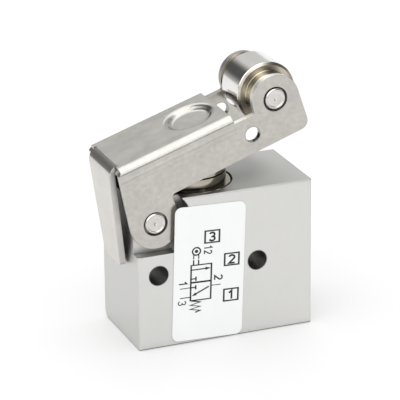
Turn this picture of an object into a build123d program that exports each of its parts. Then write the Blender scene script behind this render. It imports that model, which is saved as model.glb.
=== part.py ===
from build123d import *
from math import acos, atan2, cos, radians, sin, tan
import os

# Miniature 3/2 pneumatic valve worked by a roller lever. Millimetres, +Z up.
# The origin is the centre of the body's bottom face. +X runs along the body towards
# the roller, the label is on the front face at -Y and the three ports are at +Y.

# Body block
body_x = 30.0
body_y = 16.0
body_z = 25.0
rear_low_edge_r = 1.5
rear_top_edge_r = 0.5
edge_break = 0.2

# Valve axis, vertical, and the mounting holes either side of it
axis_x = -3.0
mount_pitch = 17.0
mount_z = 12.5
mount_r = 1.65

# Lever pivot, and the milled pockets that the lever's ears turn in
pivot_x = -11.5
pivot_z = 21.0
pivot_pin_r = 1.9
pocket_floor_y = 6.0
pocket_r = 5.8
pocket_ledge_z = 16.0

# Ports on the rear face: core holes for the thread, from the bottom up
port_core_r = 2.1
port_mouth_r = 2.6
port_mouth_depth = 0.5
port_depth = 4.6
port_z = (4.9, 11.7, 18.5)

# Stepped bore for the valve works, from the bottom up
bore_r = 4.0
bore_floor_z = 1.6
bush_bore_r = 5.0
bush_bore_z = 21.3
flange_seat_r = 7.0
flange_seat_z = 24.35

# Guide bush, screwed in from the top, and its cap
flange_r = 6.8
flange_top_z = 24.95
boss_r = 5.95
boss_top_z = 26.75
spigot_r = 4.5
spigot_top_z = 27.9
cap_bottom_z = 26.9
cap_top_z = 29.1
cap_lip = 0.5
guide_r = 3.05
collar_room_r = 3.6
collar_stop_z = 23.8
bush_groove = (22.1, 23.3)
bush_groove_r = 4.1
stem_groove = (24.7, 25.8)
stem_groove_r = 3.95

# Plunger and spool, at rest, where the outlet is open to the exhaust
plunger_r = 3.0
plunger_collar_r = 3.5
plunger_collar = 0.7
plunger_dome_z = 30.5
spool_r = 2.45
waist_r = 1.5
land_low = (6.7, 9.4)
land_high_z = 16.15
spring_peg_r = 1.3
spring_peg = 1.0

# Seals in the bore and the sleeves that space them
seal_low_z = 8.3
seal_high_z = 15.1
seal_half = 0.74
seal_mid_r = 3.22
sleeve_r = 3.97
sleeve_in_r = 2.9
sleeve_window_r = 0.9
sleeve_windows = 4
sleeve_lip_z = 21.0
sleeve_lip_r = 3.66
sleeve_groove_r = 3.4
sleeve_groove = 4.4

# Return spring and the washer that it stands on
spring_r = 1.95
spring_wire_r = 0.22
spring_turns = 4.5
seat_r = 2.7
seat_hole_r = 1.2
seat_t = 0.5

# Lever: one stamping of 1 mm sheet, drawn level with the pivot at its origin
lever_tilt = 18.3
sheet = 1.0
lever_half = 7.1
bend_r = 1.2
bend_in_r = 0.25
web_top = 11.1
web_left = -2.45
web_right = 17.5
ear_r = 4.15
ear_right = 4.05
arm_left_v = 3.45
arm_right_v = 3.88
arm_end = 29.25
arm_corner_r = 1.5
arm_top_v = 9.85
roller_ear_r = 4.0
axle_u = 25.25
axle_v = 10.65
eye_r = 2.0
spare_hole_r = 1.25
spare_hole = (19.8, 6.8)
dimple_u = 12.7
dimple_r = 4.4
dimple_flat_r = 2.8
dimple_depth = 0.65

# Tail of the lever, bent down over the end of the body
tail_lean = 11.25
tail_corner_u = -3.67
tail_bend_r = 2.0
tail_half_top = 4.75
tail_half_end = 3.55
tail_length = 15.6
tail_tip_r = 0.7

# Roller on its hub and pin
roller_r = 5.0
roller_half = 3.5
roller_break = 0.4
hub_r = 3.6
hub_collar_r = 3.8
hub_collar = 0.25
hub_collar_break = 0.08
hub_step = 5.3
hub_end_r = 3.4
hub_half = 6.05
hub_bore_r = 2.05
roller_pin_r = 2.0
pin_half = 7.1
pin_neck = 6.4
pin_end_r = 1.76
pin_break = 0.2
pin_rim_r = 1.36
pin_dish = 0.08
pin_centre_r = 0.3
pin_centre_depth = 0.16

# Label on the front face, stuck on a little askew
label_w = 12.1
label_h = 22.9
label_t = 0.12
label_corner_r = 1.1
label_x = -2.96
label_z = 11.87
label_turn = 2.2


def rod(r, z0, z1, x=axis_x):
    """A vertical cylinder between two heights."""
    return Pos(x, 0, z0) * Cylinder(r, z1 - z0, align=(Align.CENTER, Align.CENTER, Align.MIN))


def cross_rod(r, y0, y1, x, z):
    """A cylinder along Y between two depths."""
    return Pos(x, (y0 + y1) / 2, z) * Rot(90, 0, 0) * Cylinder(r, y1 - y0)


def ring(r_out, r_in, z0, z1):
    """A vertical sleeve on the valve axis."""
    return rod(r_out, z0, z1) - rod(r_in, z0, z1)


def turned(points):
    """A solid turned about the valve axis from (radius, height) points."""
    profile = make_face(Polyline(*[(r, 0, z) for r, z in points], close=True))
    return Pos(axis_x, 0, 0) * revolve(profile, Axis.Z)


def on_lever(shape):
    """Put a shape drawn level, with the pivot at its origin, where the lever holds it."""
    return Pos(pivot_x, 0, pivot_z) * Rot(0, -lever_tilt, 0) * shape


def side_face(*shapes):
    """A flat outline in X and Z from the edges given."""
    return make_face(Curve() + list(shapes))


def pocket(side):
    """The milled pocket for one ear of the lever, on the front (-1) or the rear (1)."""
    depth = body_y / 2 - pocket_floor_y
    left = -body_x / 2 - 1
    over = body_z + 1
    middle_y = side * (pocket_floor_y + body_y / 2 + 1) / 2
    sweep = cross_rod(pocket_r, middle_y - (depth + 1) / 2, middle_y + (depth + 1) / 2, pivot_x, pivot_z)
    open_side = Pos((left + pivot_x) / 2, middle_y, (pocket_ledge_z + over) / 2) * Box(
        pivot_x - left, depth + 1, over - pocket_ledge_z
    )
    below = Pos(pivot_x, middle_y, pocket_ledge_z - 5) * Box(4 * pocket_r, depth + 2, 10)
    return sweep + open_side - below


def port(z):
    """One port: a core hole for the thread with a turned mouth."""
    rear = body_y / 2
    core = cross_rod(port_core_r, rear - port_depth, rear + 1, axis_x, z)
    mouth = cross_rod(port_mouth_r, rear - port_mouth_depth, rear + 1, axis_x, z)
    return core + mouth


def valve_body():
    """The aluminium block with its bores, ports, mounting holes and ear pockets."""
    block = Pos(0, 0, body_z / 2) * Box(body_x, body_y, body_z)
    rear = block.edges().filter_by(Axis.X).group_by(Axis.Y)[-1].sort_by(Axis.Z)
    block = fillet(rear[0], rear_low_edge_r)
    rear_top = block.edges().filter_by(Axis.X).sort_by_distance((0, body_y / 2, body_z))[0]
    block = fillet(rear_top, rear_top_edge_r)
    front = block.faces().sort_by(Axis.Y)[0].edges()
    block = chamfer(front, edge_break)
    block -= rod(bore_r, bore_floor_z, body_z + 1)
    block -= rod(bush_bore_r, bush_bore_z, body_z + 1)
    block -= rod(flange_seat_r, flange_seat_z, body_z + 1)
    for side in (-1, 1):
        block -= pocket(side)
        block -= cross_rod(mount_r, -body_y, body_y, axis_x + side * mount_pitch / 2, mount_z)
    block -= cross_rod(pivot_pin_r, -body_y, body_y, pivot_x, pivot_z)
    for z in port_z:
        block -= port(z)
    return block


def guide_bush():
    """The nickelled bush that guides the plunger, with grooves for two seals."""
    outer_low, outer_high = bush_groove
    inner_low, inner_high = stem_groove
    return turned(
        [
            (collar_room_r, bush_bore_z),
            (bush_bore_r, bush_bore_z),
            (bush_bore_r, outer_low),
            (bush_groove_r, outer_low),
            (bush_groove_r, outer_high),
            (bush_bore_r, outer_high),
            (bush_bore_r, flange_seat_z),
            (flange_r, flange_seat_z),
            (flange_r, flange_top_z - edge_break),
            (flange_r - edge_break, flange_top_z),
            (boss_r, flange_top_z),
            (boss_r, boss_top_z),
            (spigot_r, boss_top_z),
            (spigot_r, spigot_top_z),
            (guide_r, spigot_top_z),
            (guide_r, inner_high),
            (stem_groove_r, inner_high),
            (stem_groove_r, inner_low),
            (guide_r, inner_low),
            (guide_r, collar_stop_z),
            (collar_room_r, collar_stop_z),
        ]
    )


def bush_cap():
    """The cap screwed on the bush over the wiper, with a rounded top edge."""
    under_lip = cap_top_z - cap_lip
    round_off = 0.35
    return turned(
        [
            (spigot_r, cap_bottom_z),
            (boss_r - edge_break / 2, cap_bottom_z),
            (boss_r, cap_bottom_z + edge_break / 2),
            (boss_r, cap_top_z - round_off),
            (boss_r - round_off, cap_top_z),
            (guide_r + 0.1, cap_top_z),
            (guide_r + 0.1, under_lip),
            (spigot_r, under_lip),
        ]
    )


def seal_ring(r_in, r_out, z):
    """A moulded seal ring of eight-sided section between two radii."""
    half = (r_out - r_in) / 2
    corner = half * tan(radians(22.5))
    outline = [
        (-half, -corner),
        (-corner, -half),
        (corner, -half),
        (half, -corner),
        (half, corner),
        (corner, half),
        (-corner, half),
        (-half, corner),
    ]
    middle = (r_in + r_out) / 2
    return turned([(middle + x, z + y) for x, y in outline])


def bush_seal():
    """The seal outside the bush, which seals it to the body."""
    return seal_ring(bush_groove_r, bush_bore_r - 0.01, sum(bush_groove) / 2)


def stem_seal():
    """The seal inside the bush, which seals the plunger."""
    return seal_ring(plunger_r + 0.03, stem_groove_r, sum(stem_groove) / 2)


def wiper_seal():
    """The lip ring between the bush and its cap, which wipes the plunger."""
    low = spigot_top_z
    high = cap_top_z - cap_lip
    lip = 0.35
    return turned(
        [
            (plunger_r + 0.04, low),
            (spigot_r - 0.05, low),
            (spigot_r - 0.05, high),
            (plunger_r + lip, high),
            (plunger_r + 0.04, high - lip),
        ]
    )


def bore_seal(z):
    """One seal that the spool passes through, held between two sleeves."""
    return seal_ring(seal_mid_r - seal_half, seal_mid_r + seal_half, z)


def windows(z):
    """The radial holes that let air through a sleeve, one of them facing the port."""
    holes = []
    for i in range(sleeve_windows):
        turn = 360 * i / sleeve_windows
        drill = Pos(0, sleeve_r / 2 + 0.5, 0) * Rot(90, 0, 0) * Cylinder(sleeve_window_r, sleeve_r + 1)
        holes.append(Pos(axis_x, 0, z) * Rot(0, 0, turn) * drill)
    return holes


def sleeve(z0, z1, window_z):
    """A spacer sleeve between two seals, grooved and pierced at the height of its port."""
    tube = ring(sleeve_r, sleeve_in_r, z0, z1)
    low = window_z - sleeve_groove / 2
    tube -= ring(sleeve_r + 1, sleeve_groove_r, low, low + sleeve_groove)
    for hole in windows(window_z):
        tube -= hole
    return tube


def lower_sleeve():
    return sleeve(bore_floor_z, seal_low_z - seal_half, port_z[0])


def middle_sleeve():
    return sleeve(seal_low_z + seal_half, seal_high_z - seal_half, port_z[1])


def upper_sleeve():
    """The top sleeve, counterbored so that the plunger's collar can come down."""
    tube = sleeve(seal_high_z + seal_half, bush_bore_z, port_z[2])
    return tube - rod(sleeve_lip_r, sleeve_lip_z, bush_bore_z + 1)


def plunger_foot_z():
    return collar_stop_z - 0.1 - plunger_collar


def plunger():
    """The domed push rod with the collar that stops it in the bush."""
    foot = plunger_foot_z()
    body = rod(plunger_r, foot, plunger_dome_z) + rod(plunger_collar_r, foot, foot + plunger_collar)
    return body + Pos(axis_x, 0, plunger_dome_z) * Sphere(plunger_r)


def spool():
    """The spool: two lands, a waist between them and a peg for the spring."""
    low, high = land_low
    top = plunger_foot_z()
    ease = 0.25
    return turned(
        [
            (0, low - spring_peg),
            (spring_peg_r, low - spring_peg),
            (spring_peg_r, low),
            (spool_r - ease, low),
            (spool_r, low + ease),
            (spool_r, high - ease),
            (waist_r, high),
            (waist_r, land_high_z - ease),
            (spool_r, land_high_z),
            (spool_r, top - ease),
            (spool_r - ease, top),
            (0, top),
        ]
    )


def spring_seat():
    """The washer at the bottom of the bore that the spring stands on."""
    return ring(seat_r, seat_hole_r, bore_floor_z, bore_floor_z + seat_t)


def return_spring():
    """The coil spring between the seat washer and the spool."""
    low = bore_floor_z + seat_t + spring_wire_r
    high = land_low[0] - spring_wire_r
    path = Helix(pitch=(high - low) / spring_turns, height=high - low, radius=spring_r)
    across = Plane(path @ 0, x_dir=(1, 0, 0), z_dir=path % 0)
    section = across * Rectangle(2 * spring_wire_r, 2 * spring_wire_r)
    return Pos(axis_x, 0, low) * sweep(section, path=path)


def lever_outline():
    """The side view of the stamping, drawn level: web, pivot ear, arm and roller ear."""
    # The left edge runs down from the shoulder to meet the pivot ear at a tangent.
    shoulder = (-2.95, 10.1)
    reach = (shoulder[0] ** 2 + shoulder[1] ** 2) ** 0.5
    touch = atan2(shoulder[1], shoulder[0]) + acos(ear_r / reach)
    tangent = (ear_r * cos(touch), ear_r * sin(touch))
    ear_up = (ear_right, (ear_r**2 - ear_right**2) ** 0.5)
    neck = (ear_right, arm_left_v)
    toe = (arm_end, arm_right_v)
    ear_left = (axle_u - roller_ear_r, axle_v)
    start = (web_left, web_top)
    bend_line = (web_left, web_top - 0.6)
    lines = [
        Line(start, bend_line),
        Line(bend_line, shoulder),
        Line(shoulder, tangent),
        ThreePointArc(tangent, (0, -ear_r), ear_up),
        Line(ear_up, neck),
        Line(neck, toe),
        Line(toe, (arm_end, axle_v)),
        ThreePointArc((arm_end, axle_v), (axle_u, axle_v + roller_ear_r), ear_left),
        Line(ear_left, (ear_left[0], arm_top_v)),
        Line((ear_left[0], arm_top_v), (web_right, arm_top_v)),
        Line((web_right, arm_top_v), (web_right, web_top)),
        Line((web_right, web_top), start),
    ]
    face = make_face(Plane.XZ * (Curve() + lines))
    return face


def lever_shell():
    """The channel: the side view made wide, hollowed from below and open past the web."""
    blank = extrude(lever_outline(), lever_half, both=True)
    corners = blank.edges().filter_by(Axis.Y)
    toe = corners.sort_by_distance((arm_end, 0, arm_right_v))[0]
    blank = fillet(toe, arm_corner_r)
    neck = blank.edges().filter_by(Axis.Y).sort_by_distance((ear_right, 0, arm_left_v))[0]
    blank = fillet(neck, 0.7)
    crook = (axle_u - roller_ear_r, 0, arm_top_v)
    blank = fillet(blank.edges().filter_by(Axis.Y).sort_by_distance(crook)[0], 0.4)
    ridges = blank.edges().filter_by(Axis.X).group_by(Axis.Z)[-1]
    blank = fillet(ridges, bend_r)
    inner = lever_half - sheet
    deep = 20.0
    long = 40.0
    room = Pos(10, 0, web_top - sheet - deep / 2) * Box(long, 2 * inner, deep)
    room = fillet(room.edges().filter_by(Axis.X).group_by(Axis.Z)[-1], bend_in_r)
    past_web = Pos(web_right + long / 2, 0, 0) * Box(long, 2 * inner, 2 * deep)
    return blank - room - past_web


def tail_angle():
    """How far the sheet turns at the tail's bend, in degrees."""
    return 90 - tail_lean


def tail():
    """The tail: a bend down from the web, then a plate that narrows to its tip."""
    turn = radians(tail_angle())
    start_u = tail_corner_u + tail_bend_r * tan(turn / 2)
    centre_v = web_top - tail_bend_r
    inner_r = tail_bend_r - sheet
    mid = turn / 2

    def at(radius, angle):
        return (start_u - radius * sin(angle), centre_v + radius * cos(angle))

    bend = side_face(
        Line(at(inner_r, 0), at(tail_bend_r, 0)),
        ThreePointArc(at(tail_bend_r, 0), at(tail_bend_r, mid), at(tail_bend_r, turn)),
        Line(at(tail_bend_r, turn), at(inner_r, turn)),
        ThreePointArc(at(inner_r, turn), at(inner_r, mid), at(inner_r, 0)),
    )
    knee = extrude(Plane.XZ * bend, tail_half_top, both=True)
    end_u, end_v = at(tail_bend_r, turn)
    outward = (-sin(turn), 0, cos(turn))
    plane = Plane(origin=(end_u, 0, end_v), x_dir=(0, 1, 0), z_dir=outward)
    down = -1 if plane.y_dir.Z > 0 else 1
    plate = make_face(
        Polyline(
            (-tail_half_top, 0),
            (tail_half_top, 0),
            (tail_half_end, down * tail_length),
            (-tail_half_end, down * tail_length),
            close=True,
        )
    )
    tips = plate.vertices().sort_by(lambda v: -down * v.Y)[:2]
    plate = fillet(tips, tail_tip_r)
    return knee + extrude(plane * plate, -sheet)


def dimple_face(top, r, flat_r, below):
    """A shallow dish turned about the dimple's axis, with an eased rim."""
    low = top - dimple_depth
    run = r - flat_r
    profile = side_face(
        Line((0, top + below), (r, top + below)),
        Line((r, top + below), (r, top)),
        Bezier((r, top), (r - run * 0.5, top), (r - run * 0.5, low), (flat_r, low)),
        Line((flat_r, low), (0, low)),
        Line((0, low), (0, top + below)),
    )
    return Pos(dimple_u, 0, 0) * revolve(Plane.XZ * profile, Axis.Z)


def lever():
    """The whole stamping: channel, tail, dimple over the plunger, and its holes."""
    shell = lever_shell()
    turn = radians(tail_angle())
    start_u = tail_corner_u + tail_bend_r * tan(turn / 2)
    relief = 0.25
    notch = Pos(start_u - 5, 0, web_top) * Box(10, 2 * (tail_half_top + relief), 3)
    shell -= notch
    shell += tail()
    shell += dimple_face(web_top - sheet, dimple_r, dimple_flat_r, sheet / 2)
    shell -= dimple_face(web_top, dimple_r, dimple_flat_r, sheet)
    for u, v, r in ((0, 0, eye_r), (axle_u, axle_v, eye_r), (*spare_hole, spare_hole_r)):
        shell -= cross_rod(r, -lever_half - 1, lever_half + 1, u, v)
    return on_lever(shell)


def cross_turned(points):
    """A solid turned about the Y axis from (radius, depth) points."""
    profile = make_face(Polyline(*[(r, y, 0) for r, y in points], close=True))
    return revolve(profile, Axis.Y)


def mirrored(half):
    """A closed outline from the half at positive depth."""
    return half + [(r, -y) for r, y in reversed(half)]


def pin(r):
    """A pin along Y with turned-down ends, each dished inside its rim and centre-marked."""
    dish = pin_half - pin_dish
    half = [
        (r, pin_neck),
        (pin_end_r, pin_neck),
        (pin_end_r, pin_half - pin_break),
        (pin_end_r - pin_break, pin_half),
        (pin_rim_r, pin_half),
        (pin_rim_r - pin_dish, dish),
        (pin_centre_r, dish),
        (0, dish - pin_centre_depth),
    ]
    return cross_turned(mirrored(half))


def pivot_pin():
    """The pin in the body that the lever's ears turn on."""
    return Pos(pivot_x, 0, pivot_z) * pin(pivot_pin_r)


def roller_pin():
    """The pin held in the lever's upper ears, on which the roller's hub turns."""
    return on_lever(Pos(axle_u, 0, axle_v) * pin(roller_pin_r))


def roller_ring():
    """The hardened ring that runs on the cam."""
    half = [
        (roller_r, roller_half - roller_break),
        (roller_r - roller_break, roller_half),
        (hub_r, roller_half),
    ]
    return on_lever(Pos(axle_u, 0, axle_v) * cross_turned(mirrored(half)))


def roller_hub():
    """The hub in the ring: thin collars hold the ring, stepped ends space it from the ears."""
    step = hub_r - hub_end_r
    collar_end = roller_half + hub_collar
    half = [
        (hub_r, roller_half),
        (hub_collar_r, roller_half),
        (hub_collar_r, collar_end - hub_collar_break),
        (hub_collar_r - hub_collar_break, collar_end),
        (hub_r, collar_end),
        (hub_r, hub_step - step),
        (hub_end_r, hub_step),
        (hub_end_r, hub_half - edge_break),
        (hub_end_r - edge_break, hub_half),
        (hub_bore_r, hub_half),
    ]
    return on_lever(Pos(axle_u, 0, axle_v) * cross_turned(mirrored(half)))


def label():
    """The self-adhesive label, which overhangs the front pocket."""
    card = RectangleRounded(label_w, label_h, label_corner_r)
    plate = extrude(Plane.XZ * card, label_t)
    return Pos(label_x, -body_y / 2, label_z) * Rot(0, label_turn, 0) * plate


NODES = {
    "valve_body": valve_body,
    "guide_bush": guide_bush,
    "bush_cap": bush_cap,
    "bush_seal": bush_seal,
    "stem_seal": stem_seal,
    "wiper_seal": wiper_seal,
    "plunger": plunger,
    "spool": spool,
    "lower_seal": lambda: bore_seal(seal_low_z),
    "upper_seal": lambda: bore_seal(seal_high_z),
    "lower_sleeve": lower_sleeve,
    "middle_sleeve": middle_sleeve,
    "upper_sleeve": upper_sleeve,
    "spring_seat": spring_seat,
    "return_spring": return_spring,
    "lever": lever,
    "pivot_pin": pivot_pin,
    "roller_ring": roller_ring,
    "roller_hub": roller_hub,
    "roller_pin": roller_pin,
    "label": label,
}

os.makedirs("parts", exist_ok=True)
for name, make in NODES.items():
    export_step(make(), "parts/" + name + ".step")
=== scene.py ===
import bpy
import bmesh
from math import cos, pi, radians, sin, tau
from mathutils import Matrix, Vector


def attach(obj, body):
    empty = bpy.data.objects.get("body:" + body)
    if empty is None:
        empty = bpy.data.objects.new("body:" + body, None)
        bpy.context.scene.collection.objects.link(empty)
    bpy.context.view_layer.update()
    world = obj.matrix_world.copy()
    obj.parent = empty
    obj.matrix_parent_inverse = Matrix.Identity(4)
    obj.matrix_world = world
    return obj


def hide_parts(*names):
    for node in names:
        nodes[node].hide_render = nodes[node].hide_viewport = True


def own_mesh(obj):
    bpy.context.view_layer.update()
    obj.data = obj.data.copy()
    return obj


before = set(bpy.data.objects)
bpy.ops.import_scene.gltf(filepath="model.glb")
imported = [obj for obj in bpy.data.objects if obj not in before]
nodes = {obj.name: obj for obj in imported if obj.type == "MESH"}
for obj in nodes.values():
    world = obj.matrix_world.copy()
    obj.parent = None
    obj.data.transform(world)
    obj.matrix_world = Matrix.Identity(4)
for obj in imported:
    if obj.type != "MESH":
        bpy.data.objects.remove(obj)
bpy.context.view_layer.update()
scene = bpy.context.scene

# Lengths and places are in millimetres, as in the CAD source, apart from those of the lamps.
MM = 0.001
PER_METRE = 1000

# The body: its bore's axis, its height, its rear face, its ends, its holes and its ports
AXIS_X = -3.0
BODY_TOP = 25.0
REAR_Y = 8.0
END_X = 15.0
MOUNT_PITCH = 17.0
MOUNT_Z = 12.5
MOUNT_R = 1.65
PORT_Z = (4.9, 11.7, 18.5)

# The lever: its pivot and tilt, then places along it and square to it, measured from the pivot
PIVOT = (-11.5, 21.0)
TILT = radians(18.3)
AXLE = (25.25, 10.65)
SPARE_HOLE = (19.8, 6.8)
WEB_END = 17.5
BEND_START = 9.9
TAIL_START = -2.55
PIN_R = 2.0
SPARE_HOLE_R = 1.25
# From its middle plane: just within the side plates, and just beyond the tail's sides
PLATE_SIDE = 6.04
TAIL_SIDE = 5.1
axle_x = PIVOT[0] + AXLE[0] * cos(TILT) - AXLE[1] * sin(TILT)
axle_z = PIVOT[1] + AXLE[0] * sin(TILT) + AXLE[1] * cos(TILT)

# The return spring
SPRING_R = 1.95
SPRING_WIRE_R = 0.22
SPRING_FOOT = 2.1
SPRING_TOP = 6.69

# The thread in each port
THREAD_PITCH = 0.8
THREAD_ROOT_R = 2.14
THREAD_CREST_R = 1.97
THREAD_ROOT_HALF = 0.30
THREAD_CREST_HALF = 0.06
THREAD_START = 0.62
THREAD_END = 4.3

# The label's centre, how far it is turned and how far its print stands out
LABEL_X = -2.96
LABEL_Z = 11.87
LABEL_Y = -8.12
LABEL_TURN = radians(2.2)
PRINT = 0.012

# The camera, as solved from the block's edges, the mounting holes and the pins
CAMERA_PLACE = (-147.2938, -367.9667, 171.4349)
CAMERA_YAW = radians(-21.6623)
CAMERA_PITCH = radians(20.7991)
CAMERA_ROLL = radians(-0.6276)
CAMERA_LENS = 235.7155
CAMERA_SENSOR = 36

# Two square lamps, in metres: what they aim at, their side, and each one's place and brightness
LAMP_TARGET = (0, 0, 0.02)
LAMP_SIDE = 0.8
OVERHEAD = ((0.02, -0.05, 0.80), 0.40)
KEY = ((-0.45, -0.62, 0.75), 0.55)

# How bright the studio's surfaces are in reflections, and how bright the room is for matt ones
CEILING = 1.7
WALL = 0.66
LOW_WALL = 1.05
FLAG = 0.085
SOFT_FILL = 1.25


# Camera and lamps


def make_camera():
    cam = bpy.data.cameras.new("camera")
    cam.lens = CAMERA_LENS
    cam.sensor_width = CAMERA_SENSOR
    cam.clip_start = 0.02
    cam.clip_end = 10
    yaw, pitch, roll = CAMERA_YAW, CAMERA_PITCH, CAMERA_ROLL
    back = Vector((sin(yaw) * cos(pitch), -cos(yaw) * cos(pitch), sin(pitch)))
    right = Vector((cos(yaw), sin(yaw), 0))
    up = back.cross(right)
    side = right * cos(roll) + up * sin(roll)
    top = up * cos(roll) - right * sin(roll)
    obj = bpy.data.objects.new("camera", cam)
    pose = Matrix((side, top, back)).transposed().to_4x4()
    pose.translation = Vector(CAMERA_PLACE) * MM
    obj.matrix_world = pose
    scene.collection.objects.link(obj)
    scene.camera = obj


def area_light(name, place, radiance):
    """A white softbox that looks this bright from the object."""
    lamp = bpy.data.lights.new(name, "AREA")
    lamp.shape = "RECTANGLE"
    lamp.size = lamp.size_y = LAMP_SIDE
    lamp.energy = radiance * pi * LAMP_SIDE * LAMP_SIDE
    obj = bpy.data.objects.new(name, lamp)
    obj.location = place
    aim = Vector(LAMP_TARGET) - Vector(place)
    obj.rotation_euler = aim.to_track_quat("-Z", "Y").to_euler()
    scene.collection.objects.link(obj)


# Node trees


class Nodes:
    """A node tree that is built by short calls, with lengths in millimetres."""

    def __init__(self, tree):
        self.tree = tree

    def add(self, kind, **settings):
        node = self.tree.nodes.new(kind)
        inputs = settings.pop("inputs", {})
        for key, value in settings.items():
            setattr(node, key, value)
        for key, value in inputs.items():
            self.put(node, key, value)
        return node

    def put(self, node, key, value):
        if isinstance(value, bpy.types.NodeSocket):
            self.tree.links.new(value, node.inputs[key])
        else:
            node.inputs[key].default_value = value

    def math(self, op, a, b=None, c=None):
        node = self.add("ShaderNodeMath", operation=op)
        for i, value in enumerate((a, b, c)):
            if value is not None:
                self.put(node, i, value)
        return node.outputs[0]

    def times(self, *values):
        total = values[0]
        for value in values[1:]:
            total = self.math("MULTIPLY", total, value)
        return total

    def mix(self, a, b, share_of_a):
        """Two numbers added, each with its share."""
        return self.math("ADD", self.times(a, share_of_a), self.times(b, 1 - share_of_a))

    def most(self, *values):
        total = values[0]
        for value in values[1:]:
            total = self.math("MAXIMUM", total, value)
        return total

    def split(self, vector):
        """The x, y and z of a vector."""
        node = self.add("ShaderNodeSeparateXYZ", inputs={0: vector})
        return [node.outputs[k] for k in "XYZ"]

    def facing(self):
        """How far the surface faces along x, y and z."""
        return self.split(self.add("ShaderNodeNewGeometry").outputs["True Normal"])

    def mapping(self, vector, scale=(1, 1, 1), rotation=(0, 0, 0)):
        inputs = {"Vector": vector, "Rotation": rotation, "Scale": scale}
        return self.add("ShaderNodeMapping", inputs=inputs).outputs[0]

    def away_from(self, vector, place):
        node = self.add("ShaderNodeVectorMath", operation="SUBTRACT")
        self.put(node, 0, vector)
        self.put(node, 1, place)
        return node.outputs[0]

    def distance(self, a, b, centre=(0, 0)):
        """How far a point is from a centre, from its places in two directions."""
        da = self.math("SUBTRACT", a, centre[0])
        db = self.math("SUBTRACT", b, centre[1])
        return self.math("SQRT", self.math("ADD", self.times(da, da), self.times(db, db)))

    def noise(self, vector, per_mm, detail=3.0, rough=0.5, distortion=0.0):
        inputs = {
            "Vector": vector,
            "Scale": per_mm,
            "Detail": detail,
            "Roughness": rough,
            "Distortion": distortion,
        }
        return self.add("ShaderNodeTexNoise", inputs=inputs).outputs["Fac"]

    def span(self, value, a, b, lo=0.0, hi=1.0, soft=False):
        """A value between a and b, moved to lie between lo and hi."""
        node = self.add("ShaderNodeMapRange")
        if soft:
            node.interpolation_type = "SMOOTHSTEP"
        names = ("Value", "From Min", "From Max", "To Min", "To Max")
        for key, v in zip(names, (value, a, b, lo, hi)):
            self.put(node, key, v)
        return node.outputs["Result"]

    def step(self, value, a, b):
        """0 where the value is a or less, 1 where it is b or more, and smooth between."""
        return self.span(value, a, b, 0.0, 1.0, True)

    def fall(self, value, a, b):
        """1 where the value is a or less, 0 where it is b or more, and smooth between."""
        return self.span(value, a, b, 1.0, 0.0, True)

    def past(self, value, edge, soft=0.05):
        """1 past an edge and 0 before it, and smooth between."""
        return self.step(value, edge - soft, edge + soft)

    def short_of(self, value, edge, soft=0.05):
        """1 before an edge and 0 past it, with a straight slope between."""
        return self.span(value, edge - soft, edge + soft, 1.0, 0.0)

    def band(self, value, a, b, c, d):
        """1 between b and c, falling to 0 at a and d."""
        return self.math("MINIMUM", self.step(value, a, b), self.fall(value, c, d))

    def lerp(self, fac, a, b):
        """a where the factor is 0 and b where it is 1, for plain numbers."""
        node = self.add("ShaderNodeMix", data_type="FLOAT")
        self.put(node, 0, fac)
        self.put(node, 2, a)
        self.put(node, 3, b)
        return node.outputs[0]

    def where(self, mask, factor):
        """A factor where a mask is 1, and 1 where it is 0."""
        return self.lerp(mask, 1.0, factor)

    def blend(self, fac, a, b):
        """One colour where the factor is 0 and another where it is 1."""
        node = self.add("ShaderNodeMix", data_type="RGBA")
        self.put(node, 0, fac)
        self.put(node, 6, a)
        self.put(node, 7, b)
        return node.outputs[2]

    def shade(self, colour, fac):
        """A colour times a number or another colour."""
        node = self.add("ShaderNodeMix", data_type="RGBA", blend_type="MULTIPLY")
        self.put(node, 0, 1.0)
        self.put(node, 6, colour)
        self.put(node, 7, fac)
        return node.outputs[2]

    def bump(self, height, distance, strength, normal=None):
        node = self.add("ShaderNodeBump")
        self.put(node, "Height", height)
        self.put(node, "Distance", distance * MM)
        self.put(node, "Strength", strength)
        if normal is not None:
            self.put(node, "Normal", normal)
        return node.outputs[0]

    def round_edge(self, radius):
        """A normal that is rounded over sharp edges."""
        return self.add("ShaderNodeBevel", samples=6, inputs={"Radius": radius * MM}).outputs[0]

    def cavity_shade(self, reach, darkest, low=0.1, high=0.7):
        """Painted shade: a number that falls towards darkest in gaps and holes narrower than the
        reach.
        """
        node = self.add("ShaderNodeAmbientOcclusion", samples=8)
        self.put(node, "Distance", reach * MM)
        return self.span(node.outputs["AO"], low, high, darkest, 1.0)


def grey(v):
    return (v, v, v, 1)


def start_material(name):
    """A material, its tree and shader, and the place on the object in millimetres."""
    mat = bpy.data.materials.new(name)
    mat.use_nodes = True
    tree = Nodes(mat.node_tree)
    shader = mat.node_tree.nodes["Principled BSDF"]
    coords = tree.add("ShaderNodeTexCoord").outputs["Object"]
    scaled = tree.add("ShaderNodeVectorMath", operation="SCALE")
    tree.put(scaled, 0, coords)
    tree.put(scaled, "Scale", PER_METRE)
    return mat, tree, shader, scaled.outputs[0]


# The studio


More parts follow.
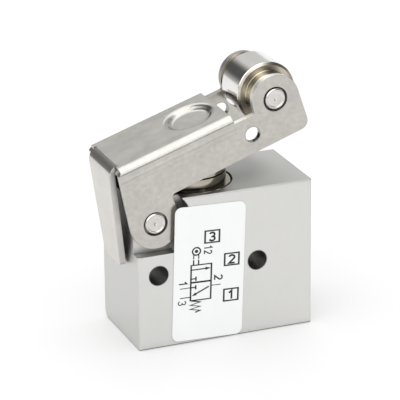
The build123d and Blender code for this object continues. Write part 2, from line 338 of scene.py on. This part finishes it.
def studio_level(t, x, y, z):
    """How bright the room is in a direction: x to the right, y to the back and z up."""
    behind = t.step(y, 0.1, 0.3)
    # The bright ceiling, open towards the back, the left and the front.
    ceiling = t.step(z, 0.51, 0.58)
    front_high = t.times(t.step(z, 0.10, 0.24), t.fall(y, -0.25, 0.0))
    bright = t.times(t.most(ceiling, front_high), t.fall(x, 0.19, 0.27))
    # Dark flags: behind on the left, higher up on the left, on the right, and low in front.
    low_place = t.band(x, -0.70, -0.55, -0.30, -0.04)
    left_low = t.times(low_place, t.band(z, -0.10, 0.22, 0.46, 0.56), behind)
    high_place = t.band(x, -0.80, -0.60, -0.44, -0.30)
    left_high = t.times(high_place, t.band(z, 0.3, 0.45, 0.86, 0.93), behind)
    right_near = t.times(t.step(x, 0.38, 0.46), t.fall(y, 0.15, 0.4))
    right_far = t.times(t.step(x, 0.5, 0.62), t.fall(y, 0.50, 0.62))
    right = t.times(t.most(right_near, right_far), t.step(z, 0.08, 0.24))
    front = t.times(t.band(z, -0.2, -0.05, 0.06, 0.14), t.fall(y, -0.55, -0.35))
    dark = t.most(left_low, left_high, right, front)
    right_low = t.times(t.step(x, 0.38, 0.46), t.fall(z, 0.12, 0.27), behind)
    wall = t.lerp(right_low, WALL, LOW_WALL)
    return t.lerp(dark, t.lerp(bright, wall, CEILING), FLAG)


def make_world():
    """White behind the object, and a studio room for polished metal to reflect."""
    world = bpy.data.worlds.new("studio")
    world.use_nodes = True
    scene.world = world
    t = Nodes(world.node_tree)
    world.node_tree.nodes.clear()
    out = t.add("ShaderNodeOutputWorld")
    path = t.add("ShaderNodeLightPath")
    seen = t.most(path.outputs["Is Camera Ray"], path.outputs["Is Transmission Ray"])
    direction = t.add("ShaderNodeTexCoord").outputs["Generated"]
    level = studio_level(t, *t.split(direction))

    def light(colour, strength):
        inputs = {"Color": colour, "Strength": strength}
        return t.add("ShaderNodeBackground", inputs=inputs).outputs[0]

    def choose(factor, a, b):
        return t.add("ShaderNodeMixShader", inputs={0: factor, 1: a, 2: b}).outputs[0]

    room = light((0.985, 1.0, 0.985, 1), level)
    mixed = choose(path.outputs["Is Glossy Ray"], light(grey(1.0), SOFT_FILL), room)
    t.put(out, "Surface", choose(seen, mixed, light(grey(1.0), 1.0)))


def make_floor():
    """A wide sheet of pale paper that takes the object's shadow."""
    mesh = bpy.data.meshes.new("floor")
    r = 3000 * MM
    mesh.from_pydata([(-r, -r, 0), (r, -r, 0), (r, r, 0), (-r, r, 0)], [], [(0, 1, 2, 3)])
    floor = bpy.data.objects.new("floor", mesh)
    floor.location.z = -0.02 * MM
    scene.collection.objects.link(floor)
    mat, t, shader, _ = start_material("floor_paper")
    shader.inputs["Base Color"].default_value = grey(0.55)
    shader.inputs["Roughness"].default_value = 0.6
    path = t.add("ShaderNodeLightPath")
    glow = t.add("ShaderNodeEmission", inputs={"Color": grey(1.0), "Strength": 0.27})
    none = t.add("ShaderNodeEmission", inputs={"Color": grey(0.0), "Strength": 0.0})
    pick = t.most(path.outputs["Is Camera Ray"], path.outputs["Is Glossy Ray"])
    extra = t.add("ShaderNodeMixShader", inputs={0: pick, 1: none.outputs[0], 2: glow.outputs[0]})
    total = t.add("ShaderNodeAddShader", inputs={0: shader.outputs[0], 1: extra.outputs[0]})
    out = [n for n in mat.node_tree.nodes if n.type == "OUTPUT_MATERIAL"][0]
    t.put(out, "Surface", total.outputs[0])
    mesh.materials.append(mat)


# Materials


def top_shade(t, x, y):
    """Painted shade on the body's top under the lever, darkest in front of the bush."""
    under = t.span(t.distance(x, y, (3.0, 3.0)), 5.0, 10.5, 0.66, 0.93, True)
    front_strip = t.band(y, -7.9, -7.65, -6.8, -6.0)
    by_bush = t.span(x, -6.5, 3.0, 0.38, 1.0, True)
    return t.times(under, t.where(front_strip, by_bush))


def mount_shade(t, x, z):
    """Painted shade on the walls of the two mounting holes, darker than the faces."""
    holes = []
    for side in (-1, 1):
        centre = (AXIS_X + side * MOUNT_PITCH / 2, MOUNT_Z)
        away = t.distance(x, z, centre)
        holes.append(t.span(away, MOUNT_R + 0.01, MOUNT_R + 0.15, 0.62, 1.0))
    return t.math("MINIMUM", *holes)


def tail_shade(t, x, y, z):
    """Painted shadow on the body's left end behind the lever's tail."""
    left_end = t.span(x, 0.1 - END_X, 0.3 - END_X, 1.0, 0.0)
    behind_tail = t.span(t.math("ABSOLUTE", y), 4.5, 6.5, 1.0, 0.0)
    return t.where(t.times(left_end, behind_tail), t.span(z, 13.5, 19.0, 1.0, 0.58, True))


def aluminium(name):
    """Satin aluminium: very fine blasted grain and faint clouds, with painted shade in recesses
    and gaps, under the lever, behind the tail, on the ends, on the low ledge and in the mounting
    holes.
    """
    mat, t, shader, at = start_material(name)
    fine = t.noise(at, 5.2, 3.0, 0.6)
    cloud = t.noise(at, 0.21, 4.0, 0.55)
    tone = t.span(t.mix(fine, cloud, 0.4), 0.32, 0.68)
    base = t.blend(tone, (0.675, 0.672, 0.655, 1), (0.715, 0.710, 0.692, 1))
    x, y, z = t.split(at)
    # Painted shade: on the top under the lever, on the ends, on the low ledge under the lever's
    # ear, in the mounting holes and behind the tail.
    top = t.where(t.step(z, BODY_TOP - 0.4, BODY_TOP - 0.05), top_shade(t, x, y))
    ends = t.where(t.step(t.math("ABSOLUTE", x), END_X - 0.3, END_X - 0.05), 0.88)
    up = t.facing()[2]
    ledge = t.where(t.times(t.step(up, 0.9, 0.98), t.span(z, 17.0, 18.0, 1.0, 0.0)), 0.74)
    faces = t.times(mount_shade(t, x, z), top, ledge, tail_shade(t, x, y, z), ends)
    # Painted shade in gaps and recesses.
    gaps = t.times(t.cavity_shade(3.0, 0.34, 0.05, 0.6), t.cavity_shade(0.3, 0.45, 0.35, 0.9))
    t.put(shader, "Base Color", t.shade(base, t.times(faces, gaps)))
    shader.inputs["Metallic"].default_value = 1.0
    t.put(shader, "Roughness", t.span(cloud, 0.3, 0.7, 0.35, 0.43))
    t.put(shader, "Normal", t.bump(fine, 0.004, 0.55, t.round_edge(0.12)))
    return mat


class LeverMap:
    """Where a point of the lever is: u along it, v square to it and y across it."""

    def __init__(self, t, at):
        self.level = t.mapping(t.away_from(at, (PIVOT[0], 0, PIVOT[1])), rotation=(0, TILT, 0))
        self.u, self.y, self.v = t.split(self.level)
        self.sideways = t.facing()[1]
        from_middle = t.math("ABSOLUTE", self.y)
        self.on_plates = t.past(from_middle, PLATE_SIDE, 0.04)
        self.on_arms = t.past(self.u, WEB_END)
        self.in_tail_width = t.short_of(from_middle, TAIL_SIDE, 0.1)
        bend = t.times(t.band(self.u, -3.70, -3.54, -2.20, -2.0), t.step(self.v, 9.0, 9.3))
        self.tail_bend = t.times(bend, self.in_tail_width)
        self.in_hole = t.short_of(t.distance(self.u, self.v, SPARE_HOLE), SPARE_HOLE_R + 0.1)


def eye_shadow_lines(t, lever):
    """A painted shadow line in each eye of the lever, where a pin's end sits, thicker to the
    upper left.
    """
    pivot_eye = t.distance(lever.u, lever.v, (-0.05, 0.03))
    axle_eye = t.distance(lever.u, lever.v, (AXLE[0] - 0.06, AXLE[1] + 0.04))
    pivot_line = t.span(pivot_eye, PIN_R - 0.01, PIN_R + 0.03, 0.2, 1.0)
    axle_line = t.span(axle_eye, PIN_R + 0.02, PIN_R + 0.10, 0.15, 1.0)
    return t.math("MINIMUM", pivot_line, axle_line)


def painted_bend_bands(t, lever):
    """Thin bands of painted shade and painted highlight on the side plates, beside the long bends
    where the press creased the sheet.
    """
    shades = []
    for heights, factor in (
        ((8.70, 8.83, 8.92, 9.05), 0.90),
        ((9.10, 9.20, 9.42, 9.52), 1.06),
        ((8.05, 8.15, 8.22, 8.35), 0.95),
    ):
        bend_band = t.times(t.band(lever.v, *heights), lever.on_plates)
        shades.append(t.where(bend_band, factor))
    return t.lerp(lever.on_arms, t.times(*shades), 1.0)


def blemishes(t, lever, spots):
    """Fine scratches, specks, and a little unevenness on the side plates."""
    scratched = t.mapping(lever.level, (0.05, 2.2, 1.6), (0, 0.5, 0.4))
    nick = t.span(t.noise(scratched, 0.9, 2.0, 0.5, 0.3), 0.66, 0.72, 1.0, 0.86)
    speck = t.span(spots, 0.66, 0.74, 1.0, 0.90)
    mottle = t.span(t.noise(lever.level, 1.3, 4.0, 0.65), 0.35, 0.65, 0.945, 1.055)
    return t.times(nick, speck, t.where(lever.on_plates, mottle))


def lever_light_and_shade(t, lever):
    """Painted light on the tail, and painted shade on the tail bend, in the spare hole and on the
    inner sides under the web.
    """
    on_tail = t.times(lever.in_tail_width, t.short_of(lever.u, -3.6, 0.1))
    tail = t.times(t.where(on_tail, 1.17), t.where(lever.tail_bend, 0.45))
    inner_side = t.short_of(t.times(lever.sideways, lever.y), -3.5, 0.5)
    under_web = t.times(inner_side, t.span(lever.u, 12.0, 16.0, 1.0, 0.0))
    return t.times(tail, t.where(lever.in_hole, 0.6), t.where(under_web, 0.4))


def sheared_edges(t, lever):
    """Where the sheet was cut, on the side plates and the tail, but not on the long bends."""
    edgeways = t.math("ABSOLUTE", lever.sideways)
    off_bend = t.most(t.short_of(lever.v, BEND_START, 0.03), lever.on_arms)
    plates = t.times(t.span(edgeways, 0.25, 0.45, 1.0, 0.0), lever.on_plates, off_bend)
    along_tail = t.times(t.short_of(lever.u, TAIL_START), lever.in_tail_width)
    tail = t.times(t.span(edgeways, 0.8, 0.95), along_tail)
    return t.times(t.most(plates, tail), t.where(lever.in_hole, 0.0))


def cut_metal(t, lever, spots):
    """The sheared edges are paler, with a painted highlight on the front arm's edges and painted
    shade on the rear arm's edges.
    """
    cut = t.blend(spots, (0.58, 0.565, 0.54, 1), (0.72, 0.705, 0.68, 1))
    arm_edge_light = t.lerp(t.step(lever.y, 0.0, 1.0), 1.3, 0.55)
    return t.shade(cut, t.where(lever.on_arms, arm_edge_light))


def rolled_steel(name):
    """Barrel-polished sheet with sheared edges and fine scratches, painted shade and highlight
    beside the long bends, and painted light and shade on the tail, the hole and the inner sides.
    """
    mat, t, shader, at = start_material(name)
    lever = LeverMap(t, at)
    grain = t.noise(t.mapping(lever.level, (0.45, 1.0, 1.0)), 2.6, 4.0, 0.65)
    cloud = t.noise(at, 0.3, 5.0, 0.6)
    spots = t.noise(at, 0.9, 3.0, 0.5)
    tone = t.span(t.mix(grain, cloud, 0.35), 0.32, 0.68)
    plain = t.blend(tone, (0.485, 0.466, 0.438, 1), (0.570, 0.549, 0.512, 1))
    # Scratches and specks, with painted shadow lines in the eyes, painted bands by the bends,
    # painted light and shade on the lever, and painted shade in gaps.
    marks_and_shade = t.times(blemishes(t, lever, spots), eye_shadow_lines(t, lever), painted_bend_bands(t, lever))
    plain = t.shade(plain, t.times(marks_and_shade, lever_light_and_shade(t, lever), t.cavity_shade(1.2, 0.30)))
    sheared = sheared_edges(t, lever)
    t.put(shader, "Base Color", t.blend(sheared, plain, cut_metal(t, lever, spots)))
    shader.inputs["Metallic"].default_value = 1.0
    polish = t.lerp(lever.tail_bend, t.span(cloud, 0.3, 0.7, 0.20, 0.25), 0.50)
    t.put(shader, "Roughness", t.lerp(sheared, polish, 0.45))
    soft = t.bump(cloud, 0.008, 0.5, t.round_edge(0.09))
    t.put(shader, "Normal", t.bump(grain, 0.003, 0.5, soft))
    return mat


def turned_metal(name, tones, rough, centre, axis, pitch=0.12, depth=0.0015, mark=None):
    """A lathe-turned metal: fine rings about an axis through a centre, with painted shade in its
    gaps.

    The tones are its darkest and lightest colours. A mark gives, from the radius and the angle,
    a tint, which carries any painted shade or painted reflection, and how many times rougher the
    metal is."""
    mat, t, shader, at = start_material(name)
    split = dict(zip("XYZ", t.split(t.away_from(at, centre))))
    along = split.pop(axis)
    first, second = split.values()
    radius = t.distance(first, second)
    both = t.add("ShaderNodeCombineXYZ", inputs={0: radius, 1: along}).outputs[0]
    rings = t.noise(both, 0.25 / pitch, 3.0, 0.6)
    cloud = t.noise(at, 0.42, 4.0, 0.6)
    base = t.blend(t.span(t.mix(rings, cloud, 0.5), 0.3, 0.7), *tones)
    coarse = 1.0
    if mark:
        tint, coarse = mark(t, at, radius, t.math("ARCTAN2", second, first))
        base = t.shade(base, tint)
    # Painted shade in gaps and recesses.
    t.put(shader, "Base Color", t.shade(base, t.cavity_shade(0.8, 0.3)))
    shader.inputs["Metallic"].default_value = 1.0
    polish = t.span(cloud, 0.3, 0.7, rough * 0.8, rough * 1.2)
    t.put(shader, "Roughness", t.times(polish, coarse))
    t.put(shader, "Normal", t.bump(rings, depth, 0.6, t.round_edge(0.05)))
    return mat


def pin_gap_shadow(line_r):
    """A painted shadow line round a pin's end."""

    def mark(t, at, radius, angle):
        return t.span(radius, line_r, line_r + 0.08, 1.0, 0.14), 1.0

    return mark


def reflection_rays(t, angle, darkest, lightest):
    """Six soft radial streaks of painted reflection about an axis, on a turned end."""
    count, turn = 6, radians(168)
    wave = t.math("COSINE", t.math("MULTIPLY_ADD", angle, count, -count * turn))
    return t.span(wave, -1.0, 1.0, darkest, lightest)


def ring_mark(t, at, radius, angle):
    """The roller's ends are darker, warmer and duller than its running face, with radial streaks
    of painted reflection.
    """
    beyond = t.span(radius, 4.84, 4.95)
    tint = t.blend(beyond, (0.62, 0.58, 0.50, 1), grey(1.0))
    return t.shade(tint, t.lerp(beyond, reflection_rays(t, angle, 0.6, 1.25), 1.0)), t.lerp(beyond, 3.0, 1.0)


# Radial streaks of painted reflection on the hub.
def hub_reflection_rays(t, at, radius, angle):
    return reflection_rays(t, angle, 0.6, 1.5), 1.0


def bush_foot_shadow(t, at, radius, angle):
    """Painted shadow on the foot of the bush, under the lever's front side plate."""
    x, y, z = t.split(at)
    foot = t.band(z, 24.2, 24.4, 25.45, 25.75)
    front_left = t.times(t.span(x, -3.6, -2.7, 1.0, 0.0), t.span(y, -3.0, -2.0, 1.0, 0.0))
    return t.where(t.times(foot, front_left), 0.16), 1.0


def rubber(name):
    mat, t, shader, at = start_material(name)
    cloud = t.noise(at, 0.5, 5.0, 0.6)
    t.put(shader, "Base Color", t.blend(cloud, grey(0.02), grey(0.05)))
    t.put(shader, "Roughness", t.span(cloud, 0.3, 0.7, 0.5, 0.7))
    t.put(shader, "Normal", t.bump(cloud, 0.01, 0.5))
    return mat


def film(name):
    """White label film with a soft satin sheen."""
    mat, t, shader, at = start_material(name)
    cloud = t.noise(at, 0.18, 3.0, 0.5)
    fine = t.noise(at, 2.5, 2.0, 0.5)
    t.put(shader, "Base Color", t.blend(cloud, (0.86, 0.87, 0.87, 1), (0.90, 0.905, 0.90, 1)))
    t.put(shader, "Roughness", t.span(cloud, 0.3, 0.7, 0.34, 0.44))
    t.put(shader, "Normal", t.bump(fine, 0.002, 0.5))
    return mat


def ink(name):
    """Black print, a little thin in places."""
    mat, t, shader, at = start_material(name)
    fine = t.noise(at, 2.6, 3.0, 0.6)
    t.put(shader, "Base Color", t.blend(t.span(fine, 0.35, 0.75), grey(0.008), grey(0.022)))
    t.put(shader, "Roughness", t.span(fine, 0.3, 0.7, 0.42, 0.6))
    return mat


def dress(node, mat):
    obj = nodes[node]
    if not obj.material_slots:
        obj.data.materials.append(mat)
    for s in obj.material_slots:
        s.material = mat


def dress_cad():
    """Every CAD node gets its material."""
    bore = (AXIS_X, 0, 0)
    axle = (axle_x, 0, axle_z)
    # The painted shadow round each pin's end is off its centre, so that it is thicker to the
    # upper left.
    pivot_end = (PIVOT[0] + 0.07, 0, PIVOT[1] - 0.05)
    axle_end = (axle_x + 0.07, 0, axle_z - 0.06)

    pinkish = ((0.52, 0.49, 0.465, 1), (0.76, 0.73, 0.70, 1))
    plated = ((0.80, 0.78, 0.755, 1), (0.86, 0.84, 0.81, 1))
    bronze = ((0.30, 0.265, 0.205, 1), (0.64, 0.59, 0.50, 1))
    warm = ((0.33, 0.295, 0.235, 1), (0.50, 0.46, 0.39, 1))
    yellow = ((0.60, 0.46, 0.22, 1), (0.70, 0.55, 0.28, 1))
    steel = ((0.60, 0.585, 0.565, 1), (0.67, 0.655, 0.635, 1))

    pivot_pin = turned_metal(
        "pivot_pin_steel", pinkish, 0.2, pivot_end, "Y", 0.2, 0.004, pin_gap_shadow(PIN_R - 0.16)
    )
    roller_pin = turned_metal(
        "roller_pin_steel", pinkish, 0.2, axle_end, "Y", 0.2, 0.004, pin_gap_shadow(PIN_R - 0.26)
    )
    roller = turned_metal("ground_roller", plated, 0.12, axle, "Y", 0.10, 0.0006, ring_mark)
    hub = turned_metal("nickel_hub", bronze, 0.26, axle, "Y", 0.5, 0.004, hub_reflection_rays)
    bush = turned_metal("nickel_bush", warm, 0.13, bore, "Z", 0.3, 0.004, bush_foot_shadow)
    brass = turned_metal("turned_brass", yellow, 0.25, bore, "Z")
    ground = turned_metal("ground_steel", steel, 0.2, bore, "Z")
    for names, mat in (
        (("valve_body",), aluminium("satin_aluminium")),
        (("lever",), rolled_steel("rolled_steel")),
        (("roller_ring",), roller),
        (("roller_hub",), hub),
        (("pivot_pin",), pivot_pin),
        (("roller_pin",), roller_pin),
        (("guide_bush", "bush_cap"), bush),
        (("spool", "lower_sleeve", "middle_sleeve", "upper_sleeve"), brass),
        (("plunger", "return_spring", "spring_seat"), ground),
        (
            ("bush_seal", "stem_seal", "wiper_seal", "lower_seal", "upper_seal"),
            rubber("seal_rubber"),
        ),
        (("label",), film("label_film")),
    ):
        for n in names:
            dress(n, mat)


# Pieces


def new_piece(name, bm, mat, body):
    mesh = bpy.data.meshes.new(name)
    bm.normal_update()
    bm.to_mesh(mesh)
    bm.free()
    obj = bpy.data.objects.new(name, mesh)
    scene.collection.objects.link(obj)
    mesh.materials.append(mat)
    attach(obj, body)
    return obj


def join_rings(bm, rings):
    """The skin between neighbouring rings of vertices."""
    for one, two in zip(rings, rings[1:]):
        for k in range(len(one)):
            m = (k + 1) % len(one)
            bm.faces.new((one[k], two[k], two[m], one[m]))


def on_label(a, b, proud):
    """A place on the label: a to the right and b up from its centre, turned as it is stuck on."""
    x = LABEL_X + a * cos(LABEL_TURN) + b * sin(LABEL_TURN)
    z = LABEL_Z - a * sin(LABEL_TURN) + b * cos(LABEL_TURN)
    return Vector((x, LABEL_Y - proud, z)) * MM


def outline_solid(bm, outer, inner=None):
    """A thin printed shape from its outline, or the band between two outlines."""
    face = [bm.verts.new(on_label(a, b, PRINT)) for a, b in outer]
    foot = [bm.verts.new(on_label(a, b, -PRINT)) for a, b in outer]
    n = len(outer)
    for i in range(n):
        j = (i + 1) % n
        bm.faces.new((face[i], foot[i], foot[j], face[j]))
    if inner is None:
        bm.faces.new(face)
        return
    face_in = [bm.verts.new(on_label(a, b, PRINT)) for a, b in inner]
    foot_in = [bm.verts.new(on_label(a, b, -PRINT)) for a, b in inner]
    for i in range(n):
        j = (i + 1) % n
        bm.faces.new((face[i], face[j], face_in[j], face_in[i]))
        bm.faces.new((face_in[i], face_in[j], foot_in[j], foot_in[i]))


def stroke(bm, points, width):
    """A pen line of one width through points."""
    left, right = [], []
    last = len(points) - 1
    for i, (a, b) in enumerate(points):
        back = points[max(i - 1, 0)]
        ahead = points[min(i + 1, last)]
        d1 = Vector((a - back[0], b - back[1])) if i else Vector((ahead[0] - a, ahead[1] - b))
        d2 = Vector((ahead[0] - a, ahead[1] - b)) if i < last else d1
        d1.normalize()
        d2.normalize()
        mid = (d1 + d2).normalized()
        reach = width / 2 / max(mid.dot(d1), 0.4)
        left.append((a - mid.y * reach, b + mid.x * reach))
        right.append((a + mid.y * reach, b - mid.x * reach))
    for i in range(last):
        outline_solid(bm, (right[i], right[i + 1], left[i + 1], left[i]))


def frame_box(bm, a0, b0, a1, b1, side, level):
    """A printed rectangle, its upright lines and level lines of two widths."""
    outer = ((a0, b0), (a1, b0), (a1, b1), (a0, b1))
    c0, d0, c1, d1 = a0 + side, b0 + level, a1 - side, b1 - level
    inner = ((c0, d0), (c1, d0), (c1, d1), (c0, d1))
    outline_solid(bm, outer, inner)


def arc(a, b, ra, rb, start, end, steps=14):
    """Points on part of an ellipse, by angles in degrees."""
    turn = [radians(start + (end - start) * i / steps) for i in range(steps + 1)]
    return [(a + ra * cos(s), b + rb * sin(s)) for s in turn]


def digit(which):
    """The pen line of a 1, 2 or 3 in a box 0.6 wide and 1 high."""
    if which == 1:
        return [(0.10, 0.72), (0.22, 0.80), (0.36, 0.96), (0.36, 0.0)]
    if which == 2:
        return arc(0.30, 0.70, 0.25, 0.24, 165, -35) + [(0.06, 0.05), (0.58, 0.05)]
    top = arc(0.29, 0.72, 0.22, 0.22, 160, -80)
    low = arc(0.29, 0.27, 0.25, 0.24, 80, -160)
    return top + low


def write(bm, which, a, b, high, width, wide=1.0, turned=False):
    """A digit with its centre at (a, b), upright or turned a quarter clockwise."""
    line = []
    for u, v in digit(which):
        u = (u - 0.3) * high * wide
        v = (v - 0.5) * high
        line.append((a + v, b - u) if turned else (a + u, b + v))
    stroke(bm, line, width)


def port_numbers(mat):
    """The boxed number beside each port."""
    bm = bmesh.new()
    half_wide, half_high = 1.38, 1.13
    for which, a, b in ((3, 0.40, 6.01), (2, 3.90, 1.74), (1, 3.93, -4.40)):
        low_left = (a - half_wide, b - half_high)
        top_right = (a + half_wide, b + half_high)
        frame_box(bm, *low_left, *top_right, 0.30, 0.24)
        write(bm, which, a, b, 1.50, 0.31, 1.25)
    return new_piece("port_numbers", bm, mat, "valve")


def circuit_symbol(mat):
    """The general symbol of a 3/2 valve worked by a roller, with a spring return."""
    bm = bmesh.new()
    hair, thin, line, bold, heavy = 0.13, 0.16, 0.20, 0.24, 0.25
    left, right, top, middle, low = -3.12, 0.44, 1.45, -1.55, -4.67
    # The two positions
    frame_box(bm, left - 0.1, middle - 0.06, right + 0.1, top + 0.06, 0.27, line)
    frame_box(bm, left - 0.1, low - 0.06, right + 0.1, middle + 0.06, 0.27, line)
    # The roller on its push rod
    wheel = (-2.25, 3.76)
    rim, rim_in = arc(*wheel, 0.80, 0.76, 0, 350, 35), arc(*wheel, 0.56, 0.52, 0, 350, 35)
    outline_solid(bm, rim, rim_in)
    outline_solid(bm, arc(*wheel, 0.30, 0.29, 0, 345, 23))
    for a in (-2.70, -1.84):
        stroke(bm, [(a, 3.2), (a, 2.45)], 0.18)
        stroke(bm, [(a, 2.3), (a, top)], bold)
    # The flow paths: an arrow across, two closed ports and an arrow at a slant
    stroke(bm, [(left, 0.62), (-0.5, 0.66)], line)
    outline_solid(bm, ((-0.62, 0.40), (0.34, 0.67), (-0.62, 0.94)))
    for b in (-0.92, -2.40):
        stroke(bm, [(left, b), (-2.25, b)], line)
        stroke(bm, [(-2.22, b - 0.36), (-2.22, b + 0.36)], heavy)
    stroke(bm, [(0.05, -2.50), (-2.3, -3.60)], bold)
    outline_solid(bm, ((-2.92, -3.88), (-2.02, -3.76), (-2.28, -3.30)))
    # The three ports' lines
    stroke(bm, [(-4.93, -2.40), (left, -2.38)], hair)
    stroke(bm, [(-4.89, -4.02), (left, -4.02)], thin)
    stroke(bm, [(right, -2.38), (2.09, -2.40)], hair)
    # The spring
    zigzag = [(-2.9, low), (-1.38, -5.02), (-3.08, -5.42), (-1.36, -5.78)]
    zigzag += [(-3.10, -6.12), (-1.36, -6.48), (-2.2, -6.72)]
    stroke(bm, zigzag, heavy)
    # The numbers: 12 at the roller, and 1, 2 and 3 at the ports
    write(bm, 1, -0.24, 4.22, 1.40, line, 0.75, True)
    write(bm, 2, -0.24, 3.42, 1.40, line, 0.75, True)
    write(bm, 1, -4.42, -1.52, 1.40, 0.22, 0.95, True)
    write(bm, 2, 1.68, -1.14, 1.45, bold, 0.95, True)
    write(bm, 3, -4.50, -4.88, 1.40, 0.17, 0.95, True)
    return new_piece("circuit_symbol", bm, mat, "valve")


def port_thread(number, z, mat):
    """The thread in one port: a helical ridge that stands a little off the core hole."""
    bm = bmesh.new()
    start, end = REAR_Y - THREAD_START, REAR_Y - THREAD_END
    per_turn, run_out = 40, 12
    count = int(per_turn * (start - end) / THREAD_PITCH)
    section = (
        (THREAD_ROOT_R, -THREAD_ROOT_HALF),
        (THREAD_ROOT_R, THREAD_ROOT_HALF),
        (THREAD_CREST_R, THREAD_CREST_HALF),
        (THREAD_CREST_R, -THREAD_CREST_HALF),
    )
    rings = []
    for i in range(count + 1):
        s = tau * i / per_turn
        y = start + (end - start) * i / count
        fade = min(1.0, i / run_out, (count - i) / run_out)
        ring = []
        for r, dy in section:
            r = THREAD_ROOT_R - (THREAD_ROOT_R - r) * fade
            place = Vector((AXIS_X + r * cos(s), y + dy * fade, z + r * sin(s)))
            ring.append(bm.verts.new(place * MM))
        rings.append(ring)
    join_rings(bm, rings)
    bmesh.ops.recalc_face_normals(bm, faces=bm.faces)
    return new_piece(f"port_{number}_thread", bm, mat, "valve")


def spring_coil(mat):
    """The return spring: round wire with closed end turns."""
    bm = bmesh.new()
    height = SPRING_TOP - SPRING_FOOT - 2 * SPRING_WIRE_R
    turns, per_turn, around = 5, 28, 12
    closed = 2.1 * SPRING_WIRE_R
    rings = []
    for i in range(turns * per_turn + 1):
        done = i / per_turn
        if done < 1:
            rise = closed * done
        elif done > turns - 1:
            rise = height - closed * (turns - done)
        else:
            rise = closed + (height - 2 * closed) * (done - 1) / (turns - 2)
        z = SPRING_FOOT + SPRING_WIRE_R + rise
        ring = []
        for k in range(around):
            r = SPRING_R + SPRING_WIRE_R * cos(tau * k / around)
            up = SPRING_WIRE_R * sin(tau * k / around)
            place = Vector((AXIS_X + r * cos(tau * done), r * sin(tau * done), z + up))
            ring.append(bm.verts.new(place * MM))
        rings.append(ring)
    join_rings(bm, rings)
    bm.faces.new(rings[0])
    bm.faces.new(reversed(rings[-1]))
    bmesh.ops.recalc_face_normals(bm, faces=bm.faces)
    for face in bm.faces:
        face.smooth = len(face.verts) == 4
    coil = new_piece("spring_coil", bm, mat, "valve")
    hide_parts("return_spring")
    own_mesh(coil)


scene.view_settings.view_transform = "Standard"
make_camera()
make_world()
make_floor()
area_light("overhead", *OVERHEAD)
area_light("key", *KEY)
dress_cad()
black = ink("label_ink")
port_numbers(black)
circuit_symbol(black)
threaded = nodes["valve_body"].material_slots[0].material
for number, height in enumerate(PORT_Z, 1):
    port_thread(number, height, threaded)
spring_coil(nodes["return_spring"].material_slots[0].material)
